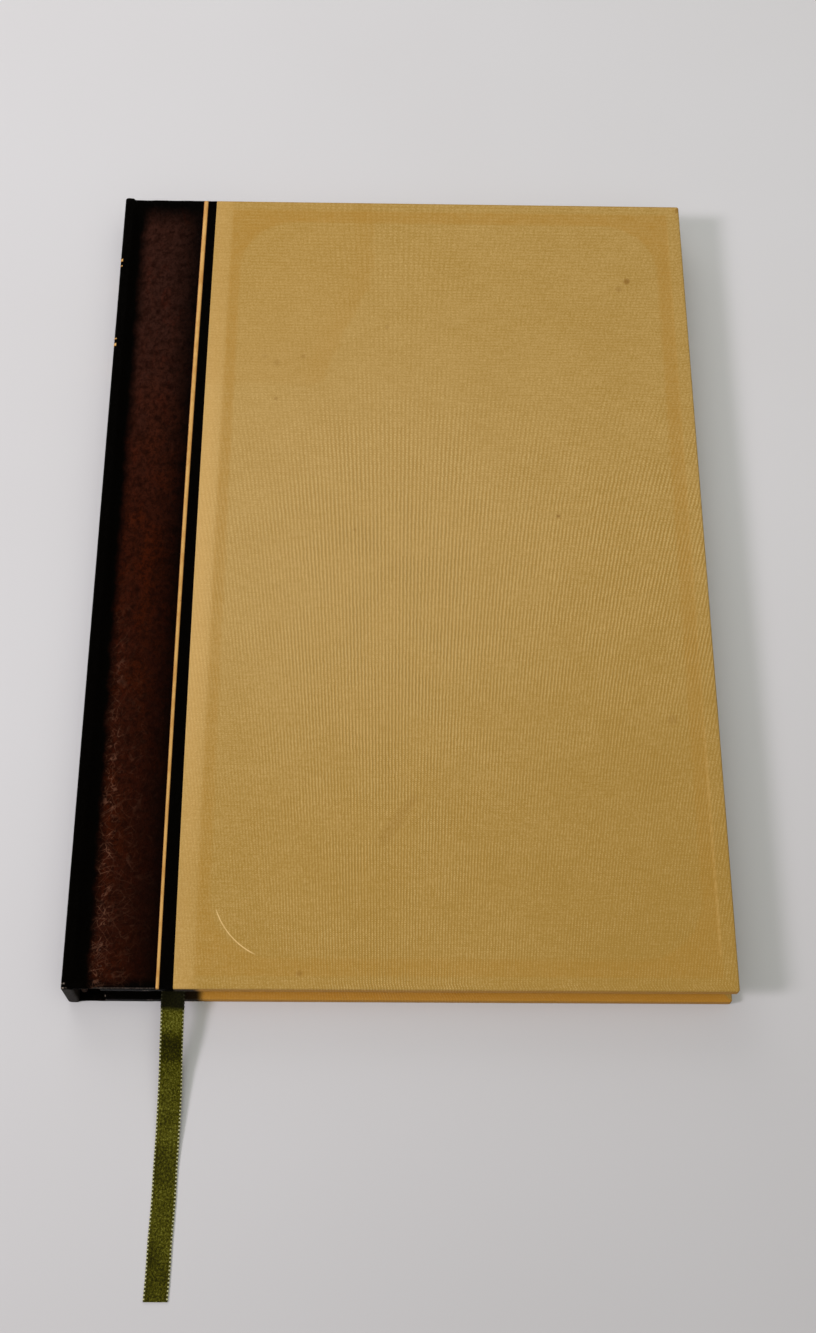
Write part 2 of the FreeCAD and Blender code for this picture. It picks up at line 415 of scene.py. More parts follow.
def ribbon_finish():
    """Satin weave: fine long ribs, a sheen that comes and goes along it, and a dotted edge,
    with painted bands of light and shade and a painted shadow where it leaves the pages.

    On the flat, X is the distance from the middle of the ribbon and Y is the length gone by.
    """
    finish = Finish("olive_satin", 0.55, 0.03, Anisotropic=0.4)
    place = finish.on_flat()
    across, along = place.axis("X"), place.axis("Y")
    ribs, picks = across.wave(rib_pitch), along.wave(pick_pitch)
    grain = place.mottle(2.1, (1.0, 0.8, 1), detail=3, roughness=0.9)
    drift = place.mottle(0.13, (0.8, 1, 1), detail=3, roughness=0.7, warp=0.5)
    dots = along.wave(selvedge_loop / MM).rise(0.0, 0.7) * abs(across).rise(2.42, 2.58)
    shade = grain + (drift - 0.5) * 0.3 + (ribs + picks) * 0.02
    # Painted light and shade along the ribbon: brighter just out of the pages, a dark band where
    # it leans over, and a little darker towards its cut end.
    painted_light_and_shade = along.rise(10.0, 14.5, 0.07, -0.12) + along.rise(15.5, 20.0, 0.0, 0.13)
    shade = shade + painted_light_and_shade + along.rise(45.0, 70.0, 0.0, -0.045)
    colour = finish.coats(
        ribbon_shadow,
        (shade.rise(0.36, 0.56), ribbon_olive),
        (shade.rise(0.54, 0.70, 0.0, 0.9), ribbon_glint),
        (abs(across).rise(2.2, 2.5, 0.0, 0.6), selvedge_olive),
        (dots * 0.9, selvedge_dot),
        # The first few millimetres out of the pages get a painted shadow, nearly black.
        (along.fall(5.6, 7.2, 0.95), ribbon_painted_shadow))
    relief = picks.relief(0.006, ribs.relief(0.012))
    return finish.done(colour, dots.relief(0.04, grain.relief(0.03, relief)))


def ribbon_line():
    """The ribbon's middle line: one smooth spline through the air and along the table."""
    curve = bpy.data.curves.new("ribbon_line", "CURVE")
    curve.dimensions = "3D"
    spline = curve.splines.new("NURBS")
    spline.points.add(len(ribbon_route) - 1)
    for point, place in zip(spline.points, ribbon_route):
        point.co = (*(value * MM for value in place), 1.0)
    spline.order_u = 3
    spline.use_endpoint_u = True
    spline.resolution_u = 34
    drawn = bpy.data.objects.new("ribbon_line", curve)
    bpy.context.scene.collection.objects.link(drawn)
    read = bpy.data.meshes.new_from_object(drawn)
    line = [vertex.co.copy() for vertex in read.vertices]
    bpy.data.meshes.remove(read)
    bpy.data.objects.remove(drawn)
    return line


def twisted(gone):
    """The way across the loose ribbon: it lies flat at both ends and leans over in between."""
    lean = step_up(gone, 1.5 * MM, 7 * MM) * step_up(-gone, -34 * MM, 16 * MM)
    return Vector((math.cos(ribbon_twist * lean), 0, -math.sin(ribbon_twist * lean)))


def ribbon_strip(name, line, wide):
    """A strip of the ribbon along a line, with a softly looped selvedge and a rounded edge.

    wide gives the way across the strip for the length gone by.
    """
    gone = 0.0
    top, under, flat = [], [], []
    for i, point in enumerate(line):
        if i:
            gone += (point - line[i - 1]).length
        ahead = line[min(i + 1, len(line) - 1)] - line[max(i - 1, 0)]
        side = wide(gone)
        lift = side.cross(ahead).normalized()
        loop = selvedge_depth * math.sin(2 * math.pi * gone / selvedge_loop)
        sway = 0.10 * MM * noise.noise(Vector((gone * 90, 3.1, 0)))
        for at, thickness in ribbon_section:
            half = ribbon_width / 2 - selvedge_depth + loop * (abs(at) > 0.9)
            curl = 0.04 * MM * noise.noise(Vector((gone * 60, at * 0.8, 7.3)))
            place = point + side * (at * half + sway) + lift * curl
            top.append(place + lift * ribbon_thickness / 2 * thickness)
            under.append(place - lift * ribbon_thickness / 2 * thickness)
            flat.append((at * half, gone))
    faces = grid_faces(len(line), len(ribbon_section))
    return sheet_piece(name, olive_satin, top, under, faces, flat, sharp=60)


olive_satin = ribbon_finish()
tail_line = ribbon_line()
tail_of_ribbon = ribbon_strip("ribbon_loose_tail", tail_line, twisted)
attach(tail_of_ribbon, "block")
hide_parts("ribbon_tail")

laid_in = [Vector((between(ribbon_exit_x, ribbon_head_x, i / 60),
                   between(pages_low.y, pages_high.y, i / 60), middle_of_book))
           for i in range(61)]
behind = ribbon_low.x + ribbon_thickness / 2
over_head = ribbon_high.y - ribbon_thickness / 2
fold_y = over_head - fold_radius
over_pages = [(behind, y) for y in spaced(pages_high.y - glued_length, fold_y, 1.5 * MM)]
over_pages += [(behind + fold_radius * (1 - math.cos(angle)),
                fold_y + fold_radius * math.sin(angle)) for angle in (0.39, 0.79, 1.18, 1.57)]
over_pages += [(x, over_head) for x in spaced(behind + 1.2 * MM, ribbon_head_x + ribbon_width / 2,
                                              1 * MM)]
over_pages = [Vector((x, y, middle_of_book)) for x, y in over_pages]
for name, line, sideways in (("ribbon_between_pages", laid_in, Vector((1, 0, 0))),
                             ("ribbon_over_head", over_pages, Vector((0, 0, 1)))):
    strip = ribbon_strip(name, line, lambda gone: sideways)
    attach(strip, "block")
    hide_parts("ribbon_inner")


# ----------------------------------------------------------------- head and tail bands, linings
# Wound cotton bands finish both ends of the pages' spine; open mull cloth is glued over the
# spine and on to both shoulders, and a strip of brown paper over the mull.

band_radius = 0.8 * MM
band_pitch = 0.46 * MM
skirt_thickness = 0.28 * MM
mull_thickness = 0.29 * MM
mull_corner = 0.25 * MM
mull_pitch, liner_pitch = 1.1, 0.7
shoulder = pages_low.x
both_sides = (("front", 1, "front_cover"), ("back", -1, "back_cover"))
band_brown, band_shade = (50, 32, 22), (24, 14, 10)
mull_cream, mull_shade = (214, 204, 178), (150, 138, 110)
liner_brown, liner_shade = (150, 118, 80), (122, 92, 58)


def wound_band(name, node, outward):
    """A band: a bead of wound thread along the leaves' end, with its skirt on the spine."""
    low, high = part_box(node)
    end = high.y - band_radius if outward > 0 else low.y + band_radius
    points, faces, flat = [], [], []
    around = 16
    levels = spaced(low.z, high.z, 0.08 * MM)
    for i, z in enumerate(levels):
        winding = 1 - 0.09 * (0.5 + 0.5 * math.cos(2 * math.pi * (z - low.z) / band_pitch))
        closing = 0.82 if i in (0, len(levels) - 1) else 1.0
        radius = band_radius * winding * closing
        for k in range(around):
            angle = 2 * math.pi * k / around
            points.append(Vector((low.x + band_radius + radius * math.cos(angle),
                                  end + radius * math.sin(angle), z)))
            flat.append((band_radius * angle, z))
    rings = [[i * around + k for k in range(around)] for i in range(len(levels))]
    for ring, next_ring in zip(rings, rings[1:]):
        faces += ring_faces(ring, next_ring)
    faces += [rings[0][::-1], rings[-1]]
    bead = len(points)
    skirt_y = spaced(low.y if outward > 0 else high.y, end, 1 * MM)
    skirt_z = spaced(low.z, high.z, band_pitch / 2)
    for depth, ribbed in ((0, 0.02 * MM), (skirt_thickness, 0)):
        for y in skirt_y:
            for j, z in enumerate(skirt_z):
                points.append(Vector((low.x + depth + ribbed * (j % 2), y, z)))
                flat.append((y, z))
    rows, columns = len(skirt_y), len(skirt_z)
    size = rows * columns
    front = grid_faces(rows, columns, bead)
    faces += front + [[i + size for i in reversed(face)] for face in front]
    rim = grid_rim(rows, columns, bead)
    faces += ring_faces(rim, [i + size for i in rim])
    return made_piece(name, band_cotton, points, faces, flat)


def thread_finish(name, light, dark, pitch):
    """Plain cotton or paper with a fine thread or fibre of one pitch in millimetres."""
    finish = Finish(name, 0.9, 0.15)
    place = finish.in_solid()
    weave = place.axis("Z").wave(pitch) * place.axis("Y").wave(pitch)
    fibre = place.mottle(3.0, detail=5)
    colour = finish.coats(light, ((weave * 0.25 + fibre).rise(0.25, 0.8), dark))
    return finish.done(colour, fibre.relief(0.03, weave.relief(0.05)))


band_cotton = thread_finish("band_cotton", band_brown, band_shade, band_pitch / MM)
for name, node, outward in (("wound_head_band", "head_band", 1),
                            ("wound_tail_band", "tail_band", -1)):
    band = wound_band(name, node, outward)
    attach(band, "block")
    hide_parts(node)

mull_low, mull_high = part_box("spine_mull")
mull_cotton = thread_finish("mull_cotton", mull_cream, mull_shade, mull_pitch)
mull_rise = mull_high.z - middle_of_book


def lengths_along(course):
    """How far along a course each of its points lies."""
    gone = [0.0]
    for (x0, z0), (x1, z1) in zip(course, course[1:]):
        gone.append(gone[-1] + math.hypot(x1 - x0, z1 - z0))
    return gone


def half_of_mull(name, way):
    """One half of the mull: from the middle of the spine up, and over the shoulder."""
    under_side = mull_rise - mull_thickness
    outer = [(mull_low.x, z) for z in spaced(0, mull_rise - mull_corner, 1 * MM)]
    inner = [(shoulder - 0.31 * MM, min(z, under_side)) for x, z in outer]
    outer += [(mull_low.x + 0.1 * MM, mull_rise - 0.1 * MM), (mull_low.x + mull_corner, mull_rise)]
    inner += [(shoulder - 0.30 * MM, under_side)] * 2
    flange = spaced(shoulder - 0.2 * MM, mull_high.x, 0.5 * MM)
    outer += [(x, mull_rise) for x in flange]
    inner += [(x, under_side) for x in flange]
    ys = spaced(mull_low.y, mull_high.y, 3 * MM)
    top, under = ([Vector((x, y, middle_of_book + way * z)) for x, z in course for y in ys]
                  for course in (outer, inner))
    flat = [(along, y) for along in lengths_along(outer) for y in ys]
    return sheet_piece(name, mull_cotton, top, under, grid_faces(len(outer), len(ys)), flat)


for side, way, cover in both_sides:
    mull = half_of_mull(side + "_half_of_mull", way)
    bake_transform(mull)
    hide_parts("spine_mull")

liner_low, liner_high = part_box("spine_paper_liner")
liner_paper = thread_finish("brown_paper", liner_brown, liner_shade, liner_pitch)
liner_z = spaced(liner_low.z, liner_high.z, 1 * MM)
liner_y = spaced(liner_low.y, liner_high.y, 3 * MM)
liner_flat = [(y, z) for y in liner_y for z in liner_z]
liner = sheet_piece(
    "brown_paper_lining", liner_paper,
    [Vector((liner_low.x + 0.01 * MM * math.sin(y * 900), y, z)) for y, z in liner_flat],
    [Vector((liner_high.x, y, z)) for y, z in liner_flat],
    grid_faces(len(liner_y), len(liner_z)), liner_flat)
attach(liner, "block")
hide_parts("spine_paper_liner")


# -------------------------------------------------------------------------------- endpapers
# A folded leaf of heavier cream paper at each end: one half is the free leaf, the other is
# pasted inside the cover, where the turned-in edges of the covering show through it.

endpaper_cream = (233, 226, 206)
endpaper_shade = (220, 211, 188)
endpaper_thickness = 0.15 * MM
turn_in_half = 102.0 * MM
turn_in_x = 66.0 * MM
turn_in_depth = 0.4 * MM
board_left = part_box("front_board")[0].x
flyleaf_low, flyleaf_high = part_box("front_flyleaf")
fold_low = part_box("front_endpaper_hinge")[0]
pasted_low, pasted_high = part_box("front_pastedown")
pasted_from = Vector((fold_low.x, pasted_low.y, fold_low.z))


def endpaper_finish():
    """Smooth wove paper with faint clouding and short fibres."""
    finish = Finish("endpaper", 0.8, 0.25)
    place = finish.on_flat()
    fibre = place.mottle(3.0, (1, 0.3, 1), detail=4)
    shade = fibre.rise(0.4, 0.7, 0.0, 0.35) + place.mottle(0.05, detail=4) * 0.5
    colour = finish.coats(endpaper_cream, (shade, endpaper_shade))
    return finish.done(colour, fibre.relief(0.01))


def mirrored(z, way):
    """A front height, or for the back the same height from below."""
    return z if way > 0 else 2 * middle_of_book - z


def paper_leaf(name, way, low, high, lifted):
    """An endpaper leaf of even thickness over a stretch of the book."""
    xs = spaced(low.x, high.x, 3 * MM, board_left - 0.4 * MM, board_left, board_left + 0.4 * MM,
                board_left + 0.8 * MM, turn_in_x - 0.6 * MM, turn_in_x - 0.3 * MM, turn_in_x,
                *(shoulder + 0.3 * MM * i for i in range(13)))
    xs = [x for x in xs if low.x <= x <= high.x]
    ys = spaced(low.y, high.y, 4 * MM, *(sign * (turn_in_half - inset * MM)
                                         for sign in (-1, 1) for inset in (0, 0.3, 0.6)))
    places = [(x, y, low.z + lifted(x, y)) for x in xs for y in ys]
    top = [Vector((x, y, mirrored(z + endpaper_thickness, way))) for x, y, z in places]
    under = [Vector((x, y, mirrored(z, way))) for x, y, z in places]
    faces = grid_faces(len(xs), len(ys))
    return sheet_piece(name, endpaper, top, under, faces, [(x, y) for x, y, z in places], sharp=50)


def pressed_to_board(x, y):
    """How far the pasted leaf sinks to the bare board inside the turned-in edges."""
    inside_x = step_up(x, board_left, 0.8 * MM) * step_up(-x, -turn_in_x, 0.6 * MM)
    inside_y = step_up(-abs(y), -turn_in_half, 0.6 * MM)
    grain = 0.012 * MM * noise.noise(Vector((x * 60, y * 60, 2.0)))
    return turn_in_depth * inside_x * inside_y + grain * inside_x


endpaper = endpaper_finish()
for side, way, cover in both_sides:
    free_leaf = paper_leaf(side + "_free_endpaper", way, flyleaf_low, flyleaf_high,
                           lambda x, y: 0.0)
    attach(free_leaf, "block")
    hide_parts(side + "_flyleaf")
    pasted_leaf = paper_leaf(side + "_pasted_endpaper", way, pasted_from, pasted_high,
                             pressed_to_board)
    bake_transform(pasted_leaf)
    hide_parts(side + "_pastedown", side + "_endpaper_hinge")


# ------------------------------------------------------------------------------------ boards
# Two grey boards and a strip of the same board behind the spine stiffen the case.
# They are die-cut sheets and are wholly covered by the leather and cloth.

board_grey = (142, 138, 130)
board_pulp = (118, 114, 107)
board_dark_fleck = (88, 84, 78)
board_light_fleck = (176, 172, 162)


def board_finish():
    """Grey pulp board with flecks of dark and light fibre."""
    finish = Finish("grey_board", 0.95, 0.1)
    place = finish.in_solid()
    pulp = place.mottle(0.8, detail=6, roughness=0.7)
    flecks = place.mottle(4.0, (1, 1, 6), detail=2)
    colour = finish.coats(board_grey, (pulp.rise(0.3, 0.7), board_pulp),
                          (flecks.rise(0.68, 0.72), board_dark_fleck),
                          (flecks.rise(0.32, 0.28), board_light_fleck))
    return finish.done(colour, pulp.relief(0.05))


grey_board = board_finish()
for node in ("front_board", "back_board", "spine_strip"):
    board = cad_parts[node]
    board.data.materials.clear()
    board.data.materials.append(grey_board)


# ------------------------------------------------------------------------------ spine leather
# Imitation leather in black-brown, rubbed back to a reddish brown on the sides.  It is glued
# round the spine strip and on to both boards, pressed into the joints and turned in at the ends.

leather_low, leather_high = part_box("front_leather")
leather_thickness = 0.38 * MM
spine_left = cad_low.x
strip_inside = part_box("spine_strip")[1].x
cover_end = leather_high.y
case_top = leather_high.z
spine_corner = 0.7 * MM
spine_cap = (1.4 * MM, 1.1 * MM, 0.95 * MM)
groove_depth = 1.0 * MM
end_round = 0.5 * MM
head_rise, tail_rise = 0.6 * MM, 0.25 * MM
leather_black = (2, 1, 0)
leather_brown = (52, 20, 9)
leather_warm = (60, 21, 5)
leather_deep = (24, 6, 2)
leather_painted_sheen = (52, 29, 22)
leather_ruddy = (62, 20, 8)
leather_rubbed_and_lit = (122, 82, 62)
leather_scuff_and_glint = (158, 142, 130)
# Scuffs and painted glints at the tail corners: from and to in height, then from and to across.
tail_scuffs_and_glints = ((-116.0, -115.7, -1.2, 0.9), (-117.1, -116.8, -1.4, 1.3),
               (-118.9, -118.3, 19.0, 20.2), (-118.9, -118.4, 8.9, 9.4),
               (-112.2, -111.9, -1.2, 0.2))


def leather_finish():
    """Black-brown leather: a sunburst of brown in each side panel, creased and a little rubbed.
    Its upper part has a painted sheen, and its creases, tail edges and tail corners have painted
    highlights.

    On the flat, X is the distance from the spine's edge on to the side, and Y is the height.
    """
    finish = Finish("spine_leather", 0.45, 0.012)
    place = finish.on_flat()

    def hairs(turn, length):
        """A set of fine scratches, turned by an angle, their hairs drawn out."""
        turned = finish.step("VectorRotate", {"Vector": place, "Angle": turn},
                             rotation_type="Z_AXIS")
        hair = turned.mottle(0.42, (1.0, length, 1), detail=1, roughness=0.6, warp=0.6)
        return abs(hair - 0.5).fall(0.002, 0.018, 0.9)

    across, height = place.axis("X"), place.axis("Y")
    wander = place.mottle(0.16, detail=4) * 3.2 - 1.6
    drifted = across + wander + height.rise(-90.0, 0.0, -0.8, 0.0)
    strayed = height + wander
    panel = drifted.rise(4.6, 8.2) * drifted.fall(12.5, 24.5) * across.rise(21.6, 23.2, 1.0, 0.2)
    panel = panel * strayed.fall(106.0, 115.5) * strayed.rise(-116.7, -113.8)

    clouds = place.mottle(0.11, (1, 0.6, 1), detail=5, roughness=0.6, warp=0.6)
    patches = place.mottle(0.35, detail=4, roughness=0.65, warp=0.4)
    streaks = place.mottle(0.14, (1.6, 0.7, 1), detail=4, roughness=0.7, warp=0.8)
    flecks = place.mottle(0.75, (1.0, 0.8, 1), detail=5, roughness=0.9, warp=0.5)
    lower = height.fall(-90.0, 40.0, 0.5) * across.rise(6.0, 18.0, 0.4, 1.5)
    brown = finish.coats(
        leather_brown,
        (clouds.rise(0.42, 0.62), leather_warm),
        # A painted sheen greys the upper part of the leather.
        (height.rise(0.0, 85.0, 0.0, 0.85), leather_painted_sheen),
        (patches.rise(0.46, 0.70, 0.0, 0.75), leather_deep),
        (streaks.rise(0.52, 0.66, 0.0, 0.35), leather_ruddy),
        (flecks.rise(0.44, 0.60, 0.0, 0.8), leather_deep),
        (lower, leather_deep))

    # The rubbed part is partly real wear and scratches and partly painted highlights on the ridges
    # of the creases.
    worn_and_lit = height.fall(-95.0, 10.0, 0.8) * height.rise(-118.0, -115.5) * drifted.rise(5.0, 7.4)
    worn_and_lit = worn_and_lit * across.rise(8.4, 11.5, 1.0, 0.22) * across.rise(14.0, 18.0, 1.0, 0.2)
    worn_and_lit = worn_and_lit * across.fall(19.5, 21.5)
    worn_and_lit = worn_and_lit * place.mottle(0.4, (1.2, 0.8, 1), detail=4, roughness=0.7).rise(0.36, 0.64, 0.15)
    creases = place.mottle(0.8, (1.0, 0.7, 1), detail=6, roughness=0.66, warp=1.6)
    ridge = abs(creases - 0.5)
    scratched = hairs(0.5, 0.30) + hairs(-0.75, 0.35) + hairs(1.2, 0.30)
    rubbed_and_lit = (scratched.sum("MINIMUM", 1.0) + ridge.fall(0.0, 0.05, 0.09)) * worn_and_lit

    pores = place.mottle(3.5, detail=3, roughness=0.6)
    specks = pores.rise(0.66, 0.74) * across.band(6.8, 10.2, 0.8) * height.fall(-112.0, -88.0)
    scuff_and_glint_breakup = place.mottle(1.6, detail=3, roughness=0.7).rise(0.42, 0.6)
    # Painted highlight along the front's tail edge, and a painted reflection on the spine's tail
    # end.
    tail_edge = height.band(-117.0, -116.85, 0.08) * across.band(8.0, 22.0, 1.0)
    spine_end = abs(height).rise(117.0, 117.5) * across.fall(1.6, 2.6, 0.06)
    # The marks at the tail corners are partly scuffs and partly painted glints.
    scuffs_and_glints = [height.band(low, high, 0.12) * across.band(left, right, 0.3) * scuff_and_glint_breakup * 0.85
              for low, high, left, right in tail_scuffs_and_glints]
    colour = finish.coats(
        leather_black,
        (panel, brown),
        (rubbed_and_lit * 0.75, leather_rubbed_and_lit),
        (specks, leather_scuff_and_glint),
        (tail_edge * scuff_and_glint_breakup.rise(0.0, 1.0, 0.12, 0.45), leather_scuff_and_glint),
        (spine_end, leather_scuff_and_glint),
        *((scuff, leather_scuff_and_glint) for scuff in scuffs_and_glints))
    relief = ridge.rise(0.0, 0.06).relief(0.05, pores.relief(0.03))
    return finish.done(colour, relief, rubbed_and_lit * 0.2 + 0.4)


def quarter_round(steps):
    """The sine and cosine at each of the even steps through a quarter turn."""
    angles = [math.pi / 2 * i / steps for i in range(steps + 1)]
    return [(math.sin(angle), math.cos(angle)) for angle in angles]


def leather_course():
    """The leather's way round one half of the spine, in X and Z from the middle of the book.

    Each station has its outer place, the place where it comes back when it is turned in at the
    head and tail, and how deep it is pressed into the joint.
    """
    top = case_top - middle_of_book
    back_x = strip_inside + 0.4 * MM
    at_spine, at_corner, at_shoulder = spine_cap
    stations = [(spine_left, z, back_x, min(z, top - at_spine), 0.0)
                for z in spaced(0, top - spine_corner, 0.9 * MM)]
    corner = quarter_round(6)
    for i, (sine, cosine) in enumerate(corner[1:], 1):
        cap = between(at_spine, at_corner, i / 6)
        stations.append((spine_left + spine_corner * (1 - cosine), top - spine_corner * (1 - sine),
                         back_x, top - cap, 0.0))
    stations += [(x, top, back_x, top - at_shoulder, 0.0)
                 for x in spaced(spine_left + spine_corner + 0.35 * MM, strip_inside, 0.5 * MM)]
    for x in spaced(strip_inside + 0.3 * MM, board_left - 0.25 * MM, 0.4 * MM):
        hollow = math.sin(math.pi * (x - strip_inside) / (board_left - strip_inside))
        dip = groove_depth * hollow ** 1.3
        back = 0.8 * MM * (1 + 0.1 * hollow)
        stations.append((x, top - dip, max(x, back_x), top - dip - back, dip))
    stations += [(x, top, x, leather_low.z - middle_of_book, 0.0)
                 for x in spaced(board_left, leather_high.x, 0.8 * MM, board_left + 0.25 * MM)]
    return stations


def laid_askew(x, y):
    """How far the leather's edge strays to the right of straight: it bows a little."""
    near = step_up(x, -72 * MM, 12 * MM) * step_up(-x, 20 * MM, 30 * MM)
    return (0.53 * (y / cover_end) ** 2 - 0.13) * MM * near


def end_of(x, z, way_y):
    """How far the leather reaches at the head or tail: the spine's cap stands a little proud."""
    proud = step_up(-x, -(strip_inside + 0.5 * MM), 0.7 * MM)
    rise = head_rise if way_y > 0 else tail_rise
    lump = 0.10 * MM * (noise.noise(Vector((x * 260, z * 130, way_y * 5.0))) + 0.3)
    return cover_end + rise * proud + max(0.0, lump)


def turned_end(end, depth, round_by):
    """From the turned-in edge of the leather out and round its end, as height and depth."""
    inside = [(y, depth) for y in (turn_in_half, turn_in_half + 5 * MM, cover_end - 3 * MM)]
    quarter = quarter_round(4)
    back_edge = [(end - round_by * (1 - sine), depth - round_by * (1 - cosine))
                 for sine, cosine in quarter]
    front_edge = [(end - round_by * (1 - cosine), round_by * (1 - sine))
                  for sine, cosine in quarter]
    return inside + back_edge + front_edge


def half_of_leather(name, way):
    """One half of the spine's leather, from the middle of the spine to the cloth."""
    stations = leather_course()
    edge_x = spine_left + spine_corner
    up_side = spaced(-1.0, 1.0, 1.6 / 117)[1:-1]
    outside, inside, flat = [], [], []
    come = lengths_along([(x, z) for x, z, *rest in stations])
    at_corner = next(i for i, station in enumerate(stations) if station[0] >= edge_x - 1e-9)
    to_flat = come[at_corner] - (edge_x - spine_left)
    for (x, z, back_x, back_z, dip), gone in zip(stations, come):
        across = gone - to_flat if x < strip_inside else x - spine_left
        outer = Vector((x, 0, z))
        back = Vector((back_x - x, 0, back_z - z))
        depth = back.length
        inward = back / depth
        round_by = min(end_round, depth / 2)
        head, tail = end_of(x, z, 1), end_of(x, z, -1)
        path = turned_end(head, depth, round_by)
        path += [(share * (head - round_by), 0.0) for share in reversed(up_side)]
        path += [(-y, deep) for y, deep in reversed(turned_end(tail, depth, round_by))]
        lengths = lengths_along(path)
        middle = next(i for i, (y, deep) in enumerate(path) if y <= 0)
        for (y, deep), length in zip(path, lengths):
            wrinkle = 0.0
            if deep == 0.0 and abs(y) < cover_end - 2 * MM:
                seed = Vector((x * 140, y * 60, 4.2 + way * 9 + z * 140))
                wrinkle = max(0.0, 0.035 * MM * noise.fractal(seed, 0.9, 2.1, 4))
            place = outer + inward * (deep + wrinkle)
            inner = outer + inward * min(max(deep, leather_thickness), depth - leather_thickness)
            inner_y = min(abs(y), (head if y > 0 else tail) - leather_thickness)
            askew = laid_askew(x, y)
            level = middle_of_book + 0.85 * dip * step_up(abs(y), cover_end - 8 * MM, 7 * MM)
            outside.append(Vector((place.x + askew, y, mirrored(level + place.z, way))))
            inside.append(Vector((inner.x + askew, math.copysign(inner_y, y),
                                  mirrored(level + inner.z, way))))
            flat.append((across, lengths[middle] - length + path[middle][0]))
    faces = grid_faces(len(stations), len(outside) // len(stations))
    return sheet_piece(name, spine_leather, outside, inside, faces, flat, sharp=50)


spine_leather = leather_finish()
for side, way, cover in both_sides:
    leather = half_of_leather(side + "_half_of_leather", way)
    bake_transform(leather)
    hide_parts(side + "_leather", side + "_joint_leather", "spine_leather")


# -------------------------------------------------------------------------------- gilt fillets
# Lines of gold foil blocked on the leather: one down each side, close to the cloth, and two
# pairs across the spine near the head.  Each is a hair proud of the leather it is stamped on.

side_fillet_x = spine_left + 22.88 * MM
side_fillet_width = 0.79 * MM
side_fillet_lean = 0.33 * MM
fillet_proud = 0.03 * MM
fillet_sunk = 0.04 * MM
# Each fillet across the spine: its height and its width.
spine_fillets = (("upper_spine_fillet_wide", 95.2, 1.0), ("upper_spine_fillet_fine", 93.2, 0.4),
                 ("lower_spine_fillet_wide", 66.2, 1.0), ("lower_spine_fillet_fine", 68.2, 0.4))
gilt_gold = (202, 156, 84)
gilt_thin = (184, 132, 60)
gilt_missed = (120, 72, 30)
gilt_edge = (138, 80, 30)


def gilt_finish():
    """Gold foil, a little uneven where the press has caught the leather's grain.

    On the flat, X is the distance from the fillet's middle, as a share of its width.
    """
    finish = Finish("gilt_foil", 0.42, 0.4, Metallic=0.3)
    place = finish.in_solid()
    grain = place.mottle(2.2, detail=4)
    thin = place.mottle(0.5, (1, 0.4, 1), detail=4, roughness=0.7)
    from_middle = abs(finish.on_flat().axis("X"))
    colour = finish.coats(gilt_gold, (thin.rise(0.4, 0.7), gilt_thin),
                          (grain.rise(0.66, 0.76), gilt_missed),
                          (from_middle.rise(0.25, 0.5, 0.0, 0.8), gilt_edge))
    return finish.done(colour, grain.relief(0.015))


def side_fillet(name, way):
    """A fillet down a side, carried over the turned head and tail edges of the board."""
    half = case_top - middle_of_book
    tail, head = (end_of(side_fillet_x, half, way_y) for way_y in (-1, 1))
    over_edge = [(end_round * (1 - cosine), end_round * (1 - sine))
                 for sine, cosine in quarter_round(4)]
    path = [(gone - tail, deep) for gone, deep in over_edge]
    path += [(y, 0.0) for y in spaced(end_round - tail, head - end_round, 3 * MM)[1:-1]]
    path += [(head - gone, deep) for gone, deep in reversed(over_edge)]
    shares = (-0.5, -0.46, 0.0, 0.46, 0.5)
    proud = fillet_proud if way > 0 else fillet_proud * 0.6
    top, under, flat = [], [], []
    for y, deep in path:
        out_y, out_z = 0.0, 1.0
        edge_y = (head if y > 0 else tail) - end_round
        if abs(y) > edge_y:
            outward = Vector((0, abs(y) - edge_y, end_round - deep)).normalized()
            out_y, out_z = math.copysign(outward.y, y), outward.z
        width = side_fillet_width * (1 + 0.56 * step_up(y, -110 * MM, 210 * MM))
        for share in shares:
            x = side_fillet_x + share * width
            x += laid_askew(x, y) + side_fillet_lean * y / cover_end
            lift = proud * (0.3 if abs(share) == 0.5 else 1.0)
            for side, shift in ((top, lift), (under, -fillet_sunk)):
                z = case_top - deep + out_z * shift
                side.append(Vector((x, y + out_y * shift, mirrored(z, way))))
            flat.append((share * MM, y))
    return sheet_piece(name, gilt_foil, top, under, grid_faces(len(path), len(shares)), flat)


def spine_fillet(name, height, width):
    """A fillet straight across the flat of the spine and over both its edges."""
    half = case_top - middle_of_book
    upper = [(0.0, z, 1.0, 0.0) for z in spaced(0, half - spine_corner, 1 * MM)]
    upper += [(spine_corner * (1 - cosine), half - spine_corner * (1 - sine), cosine, sine)
              for sine, cosine in quarter_round(6)[1:]]
    course = [(x, -z, out_x, -out_z) for x, z, out_x, out_z in reversed(upper[1:])] + upper
    shares = (-0.5, -0.4, 0.0, 0.4, 0.5)
    top, under, flat = [], [], []
    for x, z, out_x, out_z in course:
        for share in shares:
            lift = fillet_proud * (0.3 if abs(share) == 0.5 else 1.0)
            for side, shift in ((top, lift), (under, -fillet_sunk)):
                side.append(Vector((spine_left + x - out_x * shift, height + share * width,
                                    middle_of_book + z + out_z * shift)))
            flat.append((share * MM, z))
    return sheet_piece(name, gilt_foil, top, under, grid_faces(len(course), len(shares)), flat)


gilt_foil = gilt_finish()
for side, way, cover in both_sides:
    fillet = side_fillet(side + "_gilt_fillet", way)
    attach(fillet, side + "_cover")
for name, height, width in spine_fillets:
    fillet = spine_fillet(name, height * MM, width * MM)
    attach(fillet, "block")


